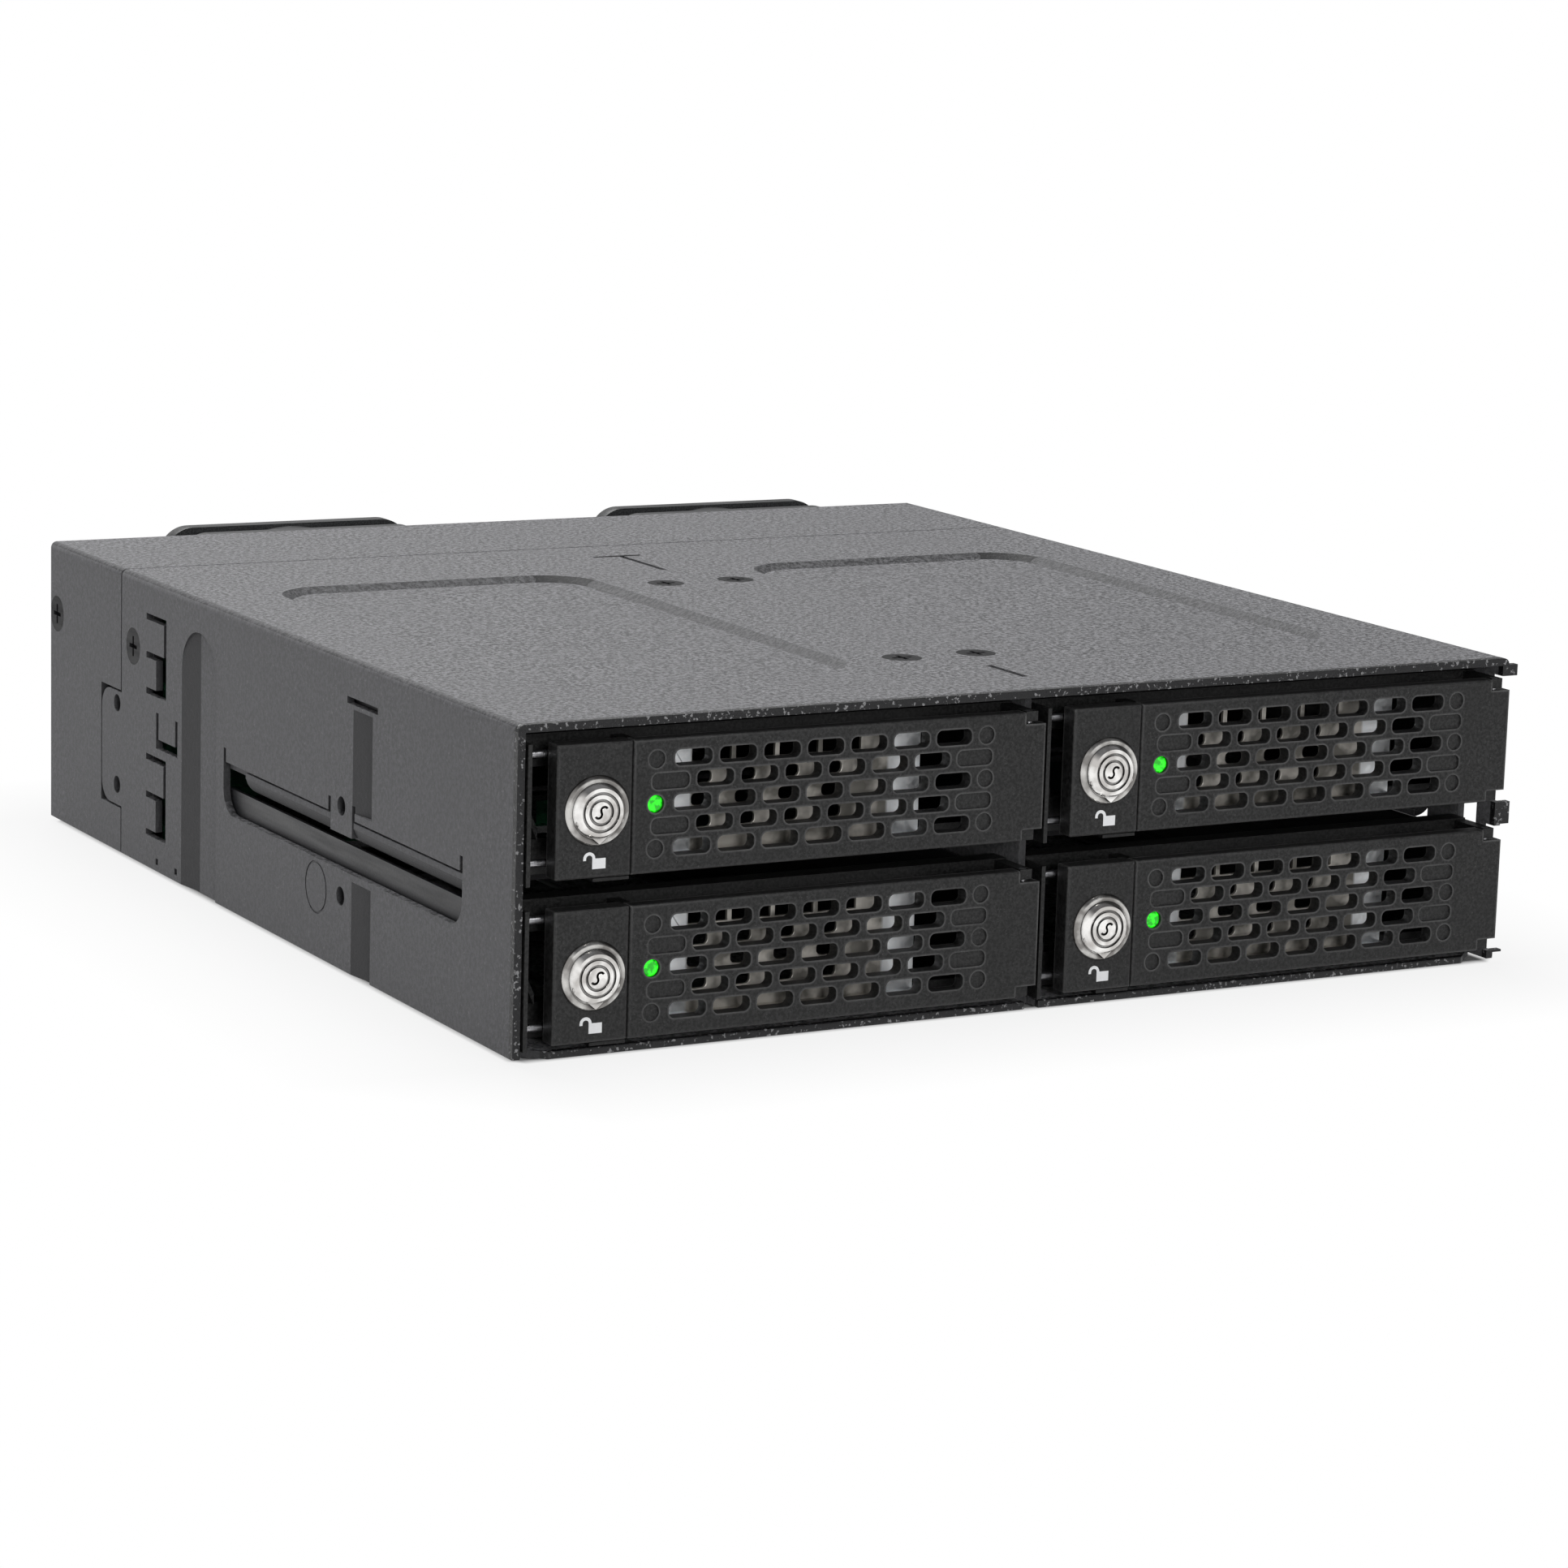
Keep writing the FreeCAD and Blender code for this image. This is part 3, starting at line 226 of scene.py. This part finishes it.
def greyCoat(name, s):
    # satin powder coat with coarse grain, sprayed black along the front edge, with painted shade on pressed
    # slopes and undersides
    f = Finish(name)
    grain = f.noise(*s["grainNoise"])
    cloud = f.noise(*s["cloudNoise"])
    speck = f.clamp(f.noise(*s["speckNoise"]), *s["speckBand"])
    onTop = f.facing(2, *s["topTurn"])
    contrast = f.clamp(onTop, 0, 1, s["sideGrain"], 1)
    level = f.clamp(grain, *s["grainBand"]) * contrast + (1 - contrast) * 0.5      # halfway where it fades
    body = f.mix(level, s["dark"], s["light"])
    body = f.mix(f.clamp(cloud, *middleBand, 0, s["cloudShare"]), body, s["cloud"])
    body = f.mix(speck * s["speckShare"], body, s["speck"])
    # painted shade on slopes facing forward, and on top also on slopes facing left
    paintedShade = f.facing(1, *s["slopeTurn"]) * (s["slopeShade"] + s["wallSlopeShade"] * (1 - onTop))
    paintedShade = paintedShade + f.facing(0, *s["slopeTurn"]) * onTop * s["slopeShade"]
    # painted shade on surfaces that face down
    if s["under"]:
        paintedShade = paintedShade + f.facing(2, *s["underTurn"]) * s["under"]
    # the painted shade takes the black of the front edge
    body = f.mix(f.clamp(paintedShade, 0, 1), body, s["edge"])
    front = frontMask(f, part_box("cage_shell")[0].y, s["edgeDepth"], s["edgeBlur"])
    chips = f.clamp(f.noise(*s["chipNoise"]), *s["chipBand"]) * front
    body = f.mix(front, body, s["edge"])
    f.set(Base_Color=f.mix(chips * s["chipShare"], body, s["speck"]),
          Roughness=f.clamp(grain, *middleBand, *s["roughness"]) - front * s["edgeGloss"])
    f.set(Specular_IOR_Level=s["gloss"])
    f.bump(grain, s["depth"] * mm, s["relief"])
    return f.material


moulding = {
    "grainNoise": (2400, 3, 0.6), "grainBand": (0.40, 0.62),
    "grainDark": 0.5, "grainLight": 2.0, "lift": 0.006,
    "sparkNoise": (5200, 1), "sparkBand": (0.66, 0.74), "sparks": 0.06, "sparkColour": (0.6, 0.6, 0.6),
    "cloudNoise": (220, 2), "cloudBand": (0.35, 0.65), "cloudShare": 0.3, "cloudDark": 0.8,
    "rimHighlight": 0.0, "rimDepth": 0.30, "rimBand": (0.70, 0.95),      # painted highlight on the rims, left out at 0
    "rimHighlightColour": (0.30, 0.30, 0.30), "rimPatches": (0.5, 1),
    "roughSpread": 0.07, "gloss": 0.3, "depth": 0.08, "relief": 0.5,
}
smooth = {"grainNoise": (2500, 3, 0.6), "depth": 0.01, "sparks": 0}
mouldings = {
    "front_plastic": ("frontPlastic", {"colour": (0.011, 0.011, 0.011), "roughness": 0.50, "rimHighlight": 0.3}),
    "bezel_plastic": ("bezelPlastic", {"colour": (0.007, 0.007, 0.007), "roughness": 0.48}),
    "socket_plastic": ("socketBlack", {"colour": (0.015, 0.015, 0.015), "roughness": 0.3, **smooth}),
    "header_plastic": ("headerNylon", {"colour": (0.55, 0.52, 0.42), "roughness": 0.45, **smooth}),
    "fan_plastic": ("fanBlack", {"colour": (0.024, 0.025, 0.026), "roughness": 0.42,
                                 "grainNoise": (4200, 3, 0.6), "depth": 0.02, "sparks": 0.02}),
}


def moulded(name, s):
    # moulded plastic with a spark-eroded texture, and a painted highlight on its rims
    f = Finish(name)
    colour, roughness = s["colour"], s["roughness"]
    grain = f.noise(*s["grainNoise"])
    cloud = f.noise(*s["cloudNoise"])
    spark = f.clamp(f.noise(*s["sparkNoise"]), *s["sparkBand"])
    dark, light = shade(colour, s["grainDark"]), shade(colour, s["grainLight"], s["lift"])
    body = f.mix(f.clamp(grain, *s["grainBand"]), dark, light)
    body = f.mix(spark * s["sparks"], body, s["sparkColour"])
    body = f.mix(f.clamp(cloud, *s["cloudBand"], 0, s["cloudShare"]), body, shade(colour, s["cloudDark"]))
    if s["rimHighlight"]:
        # painted highlight on the convex rims, in patches
        highlightedRims = f.clamp(f.hollow(s["rimDepth"], True), *s["rimBand"], s["rimHighlight"], 0)
        body = f.mix(highlightedRims * f.clamp(cloud, *middleBand, *s["rimPatches"]), body, s["rimHighlightColour"])
    spread = s["roughSpread"]
    f.set(Base_Color=body, Roughness=f.clamp(grain, *middleBand, roughness - spread, roughness + spread))
    f.set(Specular_IOR_Level=s["gloss"])
    f.bump(grain, s["depth"] * mm, s["relief"])
    return f.material


sheet = {
    "grainNoise": (3000, 2), "grainBand": (0.35, 0.65), "grainLight": 1.5, "lift": 0.003,
    "markStretch": (900, 60, 900), "markBand": (0.35, 0.7), "glossier": 0.08, "duller": 0.1,
    "gloss": 0.4, "depth": 0.03, "relief": 0.4,
}
sheets = {
    "tray_steel": ("trayBlack", {"colour": (0.020, 0.020, 0.022), "roughness": 0.42}),
    "screw_steel": ("screwBlack", {"colour": (0.014, 0.014, 0.015), "roughness": 0.5, "gloss": 0.12}),
}


def coatedSheet(name, s):
    # black coated steel, with faint marks from handling
    f = Finish(name)
    grain = f.noise(*s["grainNoise"])
    marks = f.lines(s["markStretch"])
    light = shade(s["colour"], s["grainLight"], s["lift"])
    body = f.mix(f.clamp(grain, *s["grainBand"]), s["colour"], light)
    low, high = s["roughness"] - s["glossier"], s["roughness"] + s["duller"]
    f.set(Base_Color=body, Roughness=f.clamp(marks, *s["markBand"], low, high))
    f.set(Specular_IOR_Level=s["gloss"])
    f.bump(grain, s["depth"] * mm, s["relief"])
    return f.material


rodSet = {
    "colour": (0.50, 0.50, 0.52), "lineDark": 0.86, "cloudDark": 0.75,
    "stretch": (6000, 300, 300), "cloudNoise": (140, 3), "cloudBand": (0.4, 0.65), "cloudShare": 0.3,
    "roughness": (0.25, 0.4), "depth": 0.01, "relief": 0.3,
}


def drawnWire(name, s):
    # bright wire, with fine lines along it
    f = Finish(name)
    lines = f.lines(s["stretch"])
    cloud = f.noise(*s["cloudNoise"])
    colour = s["colour"]
    body = f.mix(f.clamp(lines, *middleBand), shade(colour, s["lineDark"]), colour)
    body = f.mix(f.clamp(cloud, *s["cloudBand"], 0, s["cloudShare"]), body, shade(colour, s["cloudDark"]))
    f.set(Base_Color=body, Metallic=1.0, Roughness=f.clamp(lines, *middleBand, *s["roughness"]))
    f.bump(lines, s["depth"] * mm, s["relief"])
    return f.material


plating = {
    "dull": (0.55, 0.53, 0.51), "bright": (0.92, 0.91, 0.89), "grooveShade": (0.022, 0.021, 0.020),
    "grainNoise": (2500, 2), "cloudNoise": (420, 2), "cloudBand": (0.40, 0.62),
    "grooveDepth": 0.5, "grooveBand": (0.60, 0.97),
    "roughness": (0.09, 0.20), "depth": 0.10, "relief": 0.5,
}
# the same plating painted darker for the ring, as painted shade
ringPlatingShaded = {**plating, "dull": (0.24, 0.23, 0.22), "bright": (0.62, 0.61, 0.59)}


def lockChrome(name, s):
    # polished plating, with painted shade in the sunk rings and on the slopes
    f = Finish(name)
    grain = f.noise(*s["grainNoise"])
    cloud = f.noise(*s["cloudNoise"])
    body = f.mix(f.clamp(cloud, *s["cloudBand"]), s["dull"], s["bright"])
    # painted shade, darkest deep in the grooves
    body = f.mix(f.clamp(f.hollow(s["grooveDepth"]), *s["grooveBand"]), s["grooveShade"], body)
    f.set(Base_Color=body, Metallic=1.0, Roughness=f.clamp(grain, *middleBand, *s["roughness"]))
    f.bump(cloud, s["depth"] * mm, s["relief"])
    return f.material


lensSet = {
    "dark": (0.0, 0.12, 0.0), "light": (0.0, 0.28, 0.0),
    "darkGlow": (0.0, 0.30, 0.0), "lightGlow": (0.02, 0.95, 0.01), "glow": 1.25,
    "spotNoise": (1500, 2), "spotBand": (0.42, 0.62), "roughness": (0.2, 0.3), "coat": 0.3,
}


def lensGreen(name, s):
    # a lit window with brighter spots in it
    f = Finish(name)
    spots = f.clamp(f.noise(*s["spotNoise"]), *s["spotBand"])
    f.set(Base_Color=f.mix(spots, s["dark"], s["light"]), Roughness=f.clamp(spots, 0, 1, *s["roughness"]))
    f.set(Emission_Color=f.mix(spots, s["darkGlow"], s["lightGlow"]))
    f.set(Emission_Strength=s["glow"], Coat_Weight=s["coat"])
    return f.material


grilleSet = {
    "left": 3.1, "right": 4.5, "blur": 0.4,      # widths of the bright strips, in mm
    "dullDark": (0.20, 0.19, 0.17), "dullLight": (0.62, 0.59, 0.54),
    "cloudNoise": (260, 3), "cloudBand": (0.42, 0.58),
    "brightDark": (0.92, 0.95, 0.97), "brightLight": (0.98, 0.99, 1.0), "grainNoise": (1800, 2),
    "dullness": 0.5,      # how much less metal shows in the middle
    "roughness": (0.32, 0.44), "depth": 0.02, "relief": 0.3,
}


def grilleSteel(name, s):
    # zinc plated sheet: bright strips up the sides and dull patches in the middle
    f = Finish(name)
    across = f.along(f.node("ShaderNodeTexCoord", output="Generated"), 0)
    grain = f.noise(*s["grainNoise"])
    cloud = f.noise(*s["cloudNoise"])
    low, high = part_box("grille_plate_lower_left")
    width = (high.x - low.x) / mm
    left, right, blur = s["left"] / width, 1 - s["right"] / width, s["blur"] / width
    middle = f.clamp(across, left, left + blur) * f.clamp(across, right - blur, right, 1, 0)
    dull = f.mix(f.clamp(cloud, *s["cloudBand"]), s["dullDark"], s["dullLight"])
    bright = f.mix(f.clamp(grain, *middleBand), s["brightDark"], s["brightLight"])
    f.set(Base_Color=f.mix(middle, bright, dull), Metallic=1 - middle * s["dullness"],
          Roughness=f.clamp(grain, *middleBand, *s["roughness"]))
    f.bump(grain, s["depth"] * mm, s["relief"])
    return f.material


boardSet = {
    "mask": (0.010, 0.075, 0.035), "trace": (0.018, 0.14, 0.06), "patch": (0.008, 0.05, 0.03),
    "stretch": (300, 1, 900), "traceBand": (0.52, 0.54),
    "grainNoise": (1500, 2), "patchBand": (0.4, 0.7), "patchShare": 0.3,
    "roughness": (0.25, 0.4), "depth": 0.04, "relief": 0.5,
}


def boardGreen(name, s):
    # solder mask with traces under it
    f = Finish(name)
    traces = f.clamp(f.lines(s["stretch"], 1, 0.5), *s["traceBand"])
    grain = f.noise(*s["grainNoise"])
    body = f.mix(traces, s["mask"], s["trace"])
    body = f.mix(f.clamp(grain, *s["patchBand"], 0, s["patchShare"]), body, s["patch"])
    f.set(Base_Color=body, Roughness=f.clamp(grain, *middleBand, *s["roughness"]))
    f.bump(traces, s["depth"] * mm, s["relief"])
    return f.material


paintSet = {
    "dark": (0.86, 0.87, 0.88), "light": (0.96, 0.97, 0.98),
    "grainNoise": (5000, 2), "roughness": (0.5, 0.7),
}


def signPaint(name, s):
    # white print
    f = Finish(name)
    grain = f.noise(*s["grainNoise"])
    f.set(Base_Color=f.mix(grain, s["dark"], s["light"]),
          Roughness=f.clamp(grain, *middleBand, *s["roughness"]))
    return f.material


finishes = {
    "grey_coat": greyCoat("greyCoat", coat),
    # the grey coat with painted shade on its underside
    "shelf_coat_shaded": greyCoat("shelfCoatShaded", {**coat, "under": 0.8}),
    "rod_steel": drawnWire("rodSteel", rodSet),
    "bright_plate": grilleSteel("grilleSteel", grilleSet),
    "lock_chrome": lockChrome("lockChrome", plating),
    "ring_chrome_shaded": lockChrome("ringChromeShaded", ringPlatingShaded),
    "green_lens": lensGreen("lensGreen", lensSet),
    "board_green": boardGreen("boardGreen", boardSet),
    "sign_paint": signPaint("signPaint", paintSet),
}
finishes.update({slot: moulded(name, {**moulding, **own}) for slot, (name, own) in mouldings.items()})
finishes.update({slot: coatedSheet(name, {**sheet, **own}) for slot, (name, own) in sheets.items()})
slotOf = {s["node"]: s["material_slot"] for s in frame["record"]["subparts"]}
finishOf = {"bezel": "bezel_plastic", "mid_shelf": "shelf_coat_shaded", "lock_ring": "ring_chrome_shaded"}
for name, node in frame["nodes"].items():      # a piece's own finish goes before that of its slot
    own = [finish for prefix, finish in finishOf.items() if name.startswith(prefix)]
    node.data.materials.clear()
    node.data.materials.append(finishes[own[0] if own else slotOf[name]])
print("finishes on", len(frame["nodes"]), "nodes")


edgeSet = {      # how wide the edges of a piece are rounded, in mm
    "cage_shell": 0.16, "rear_cover": 0.16, "base_plate": 0.18,
    "door": 0.16, "lock_panel": 0.18, "lock_ring": 0.10, "key_barrel": 0.10,
    "bezel": 0.12, "fan_frame": 0.25, "fan_rotor": 0.15, "mid_shelf": 0.15, "grille_plate": 0.06,
}
bevelSet = {"weld": 0.002, "segments": 2, "angle": 38}


def softenEdges(node, width, s):
    weld = node.modifiers.new("weld", "WELD")
    weld.merge_threshold = s["weld"] * mm
    edge = node.modifiers.new("edge", "BEVEL")
    edge.width = width * mm
    edge.segments = s["segments"]
    edge.limit_method = "ANGLE"
    edge.angle_limit = math.radians(s["angle"])
    edge.use_clamp_overlap = True
    edge.harden_normals = False


for name, node in frame["nodes"].items():
    for prefix, width in edgeSet.items():
        if name.startswith(prefix):
            softenEdges(node, width, bevelSet)
print("edges softened")


signSet = {      # in mm
    "width": 1.78, "bodyTall": 1.28, "bottomUp": 1.15, "rightBy": 0.40,      # body, from the lock
    "shackleWidth": 1.62, "line": 0.39, "shackleUp": 0.82, "legDrop": 0.2,      # open shackle at its left
    "thick": 0.04, "sunk": 0.01, "steps": 10,
}


def solidFrom(name, outlines, y0, y1, finish):
    # flat outlines in x and z, in metres, made into one thin solid
    mesh = bpy.data.meshes.new(name)
    bm = bmesh.new()
    for outline in outlines:
        front = [bm.verts.new((x, y0, z)) for x, z in outline]
        back = [bm.verts.new((x, y1, z)) for x, z in outline]
        bm.faces.new(front)
        bm.faces.new(back[::-1])
        for i in range(len(outline)):
            j = (i + 1) % len(outline)
            bm.faces.new((front[j], front[i], back[i], back[j]))
    bmesh.ops.recalc_face_normals(bm, faces=bm.faces)
    bm.to_mesh(mesh)
    bm.free()
    piece = bpy.data.objects.new(name, mesh)
    scene.collection.objects.link(piece)
    piece.data.materials.append(finishes[finish])
    return piece


def padlockSign(level, column, s):
    # a square body, and a hook whose right leg stands on the body's left edge
    ringLow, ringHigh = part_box(f"lock_ring_{level}_{column}")
    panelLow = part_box(f"lock_panel_{level}_{column}")[0]
    left = (ringLow.x + ringHigh.x) / 2 / mm + s["rightBy"] - s["width"] / 2
    bottom = panelLow.z / mm + s["bottomUp"]
    top = bottom + s["bodyTall"]
    body = [(left, bottom), (left + s["width"], bottom), (left + s["width"], top), (left, top)]
    outer = s["shackleWidth"] / 2
    inner = outer - s["line"]
    middle = left + s["line"] - outer
    rise = top + s["shackleUp"] - outer
    arc = [math.pi * k / s["steps"] for k in range(s["steps"] + 1)]
    shackle = [(left + s["line"], top)]
    shackle += [(middle + outer * math.cos(a), rise + outer * math.sin(a)) for a in arc]
    shackle += [(middle - outer, top - s["legDrop"]), (middle - inner, top - s["legDrop"])]
    shackle += [(middle + inner * math.cos(a), rise + inner * math.sin(a)) for a in reversed(arc)]
    shackle += [(left, top)]
    outlines = [[(x * mm, z * mm) for x, z in outline] for outline in (body, shackle)]
    face = panelLow.y
    piece = solidFrom(f"padlock_sign_{level}_{column}", outlines,
                      face - s["thick"] * mm, face + s["sunk"] * mm, "sign_paint")
    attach(piece, f"latch_{level}_{column}")


for level, column in trays:
    padlockSign(level, column, signSet)
print("signs made")


stageSet = {      # in metres
    "size": 6.0, "gap": 0.0002, "floor": (0.45, 0.45, 0.45), "floorLight": 0.99, "floorRough": 0.9,
    "grainNoise": (30, 2), "edgeBlur": 0.002, "white": (1.0, 1.0, 1.0),
    "shadowedWhite": 0.86, "shadowReach": 0.03,      # painted shadow: how white the floor is close beside the object, and how far out it is whole white
    "world": (0.20, 0.20, 0.205), "mirrored": (1.0, 1.0, 1.0), "overhead": (0.16, 0.16, 0.165),
    "upward": (0.5, 0.0, 0.85), "upwardBand": (0.15, 0.55),      # the mirrored world greys this way
}
lampSet = {
    "top": {"place": (0.0, 0.80, 1.15), "size": 0.8, "power": 17.0},
    "front": {"place": (0.35, -1.10, 1.20), "size": 0.5, "power": 5.5},
    "low": {"place": (-0.35, -1.40, 0.33), "size": 0.35, "power": 7.0},
}


def makeFloor(s):
    # plain pale paint that looks white around the object, with a painted shadow: dark under the object and
    # less white close beside it
    f = Finish("floorPaint")
    grain = f.noise(*s["grainNoise"])
    f.set(Base_Color=f.mix(grain, s["floor"], shade(s["floor"], s["floorLight"])), Roughness=s["floorRough"])
    glow = f.node("ShaderNodeEmission", {}, {"Color": s["white"], "Strength": 1.0})
    above = [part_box(name) for name in ("cage_shell", "rear_cover")]
    outside, far = 0, 0
    for axis in (0, 1):
        low, high = min(b[0][axis] for b in above), max(b[1][axis] for b in above)
        middle, half = (low + high) / 2, (high - low) / 2
        fromMiddle = f.along(f.place(), axis) - middle
        away = f.node("ShaderNodeMath", {"operation": "ABSOLUTE"}, {0: fromMiddle})
        outside = outside + f.clamp(away, half - s["edgeBlur"], half)
        far = far + f.clamp(away, half, half + s["shadowReach"])
    seen = f.clamp(f.ray("Camera") + f.ray("Glossy") + f.ray("Transmission"), 0, 1)
    # painted shadow: no white under the footprint, and less white close beside it
    white = f.clamp(outside, 0, 1) * f.clamp(far, 0, 1, s["shadowedWhite"], 1) * seen
    paint = Signal(f, f.shader.outputs[0])
    shown = f.node("ShaderNodeMixShader", {}, {0: white, 1: paint, 2: glow})
    f.feed(f.tree.nodes["Material Output"].inputs["Surface"], shown)
    mesh = bpy.data.meshes.new("floor")
    half = s["size"] / 2
    corners = [(-half, -half, 0), (half, -half, 0), (half, half, 0), (-half, half, 0)]
    mesh.from_pydata(corners, [], [(0, 1, 2, 3)])
    floor = bpy.data.objects.new("floor", mesh)
    floor.data.materials.append(f.material)
    scene.collection.objects.link(floor)
    floor.location.z = -s["gap"]


def makeWorld(s):
    # white behind the object, grey as a light, and in what shines white low down and grey overhead
    world = bpy.data.worlds.new("world")
    scene.world = world
    world.use_nodes = True
    f = Nodes(world.node_tree)
    direction = f.node("ShaderNodeTexCoord", output="Generated")
    settings, values = {"operation": "DOT_PRODUCT"}, {0: direction, 1: s["upward"]}
    upward = f.node("ShaderNodeVectorMath", settings, values, "Value")
    mirrored = f.mix(f.clamp(upward, *s["upwardBand"]), s["mirrored"], s["overhead"])
    lit = f.mix(f.ray("Glossy"), s["world"], mirrored)
    seen = f.clamp(f.ray("Camera") + f.ray("Transmission"), 0, 1)
    f.feed(f.tree.nodes["Background"].inputs["Color"], f.mix(seen, lit, s["white"]))


def makeLamp(name, s):
    data = bpy.data.lights.new(name, "AREA")
    data.size = s["size"]
    data.energy = s["power"]
    lamp = bpy.data.objects.new(name, data)
    lamp.location = s["place"]
    lamp.rotation_euler = (-lamp.location).to_track_quat("-Z", "Y").to_euler()
    scene.collection.objects.link(lamp)


makeFloor(stageSet)
makeWorld(stageSet)
for name, s in lampSet.items():
    makeLamp(name, s)
print("stage and lamps made")
